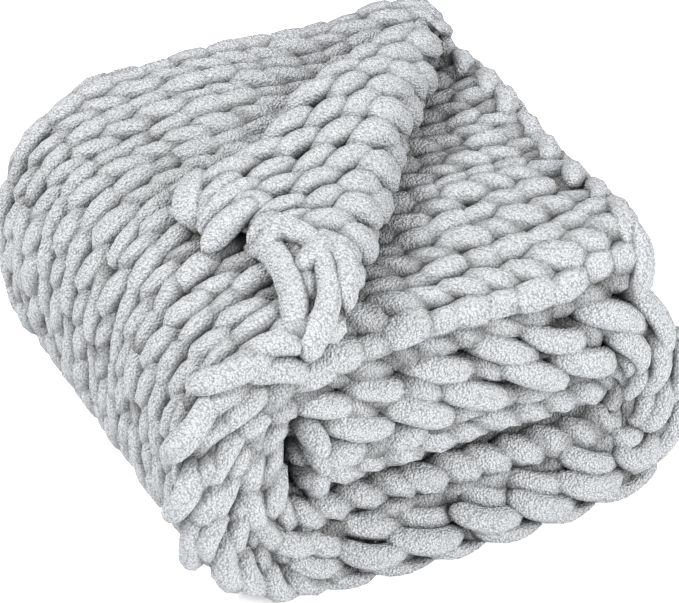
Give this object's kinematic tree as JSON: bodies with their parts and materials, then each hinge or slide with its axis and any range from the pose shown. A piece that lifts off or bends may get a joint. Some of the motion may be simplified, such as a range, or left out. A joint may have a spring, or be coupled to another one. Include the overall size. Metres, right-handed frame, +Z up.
{
  "type": "folded knit blanket",
  "caption": "Chunky knit throw blanket in soft chenille yarn, folded in thirds into a thick bundle, with one corner turned back on top.",
  "frame": {"origin": "on the ground under the middle of the folded bundle's bounding box", "axes": "+X along the bundle's long side, +Z up, and the end face that shows the layers is at -Y"},
  "size_m": [0.4939, 0.459, 0.3489],
  "materials": {
    "yarn": "fuzzy light grey chenille yarn, matte"
  },
  "bodies": {
    "root": {"blanket": "yarn"}
  },
  "joints": []
}
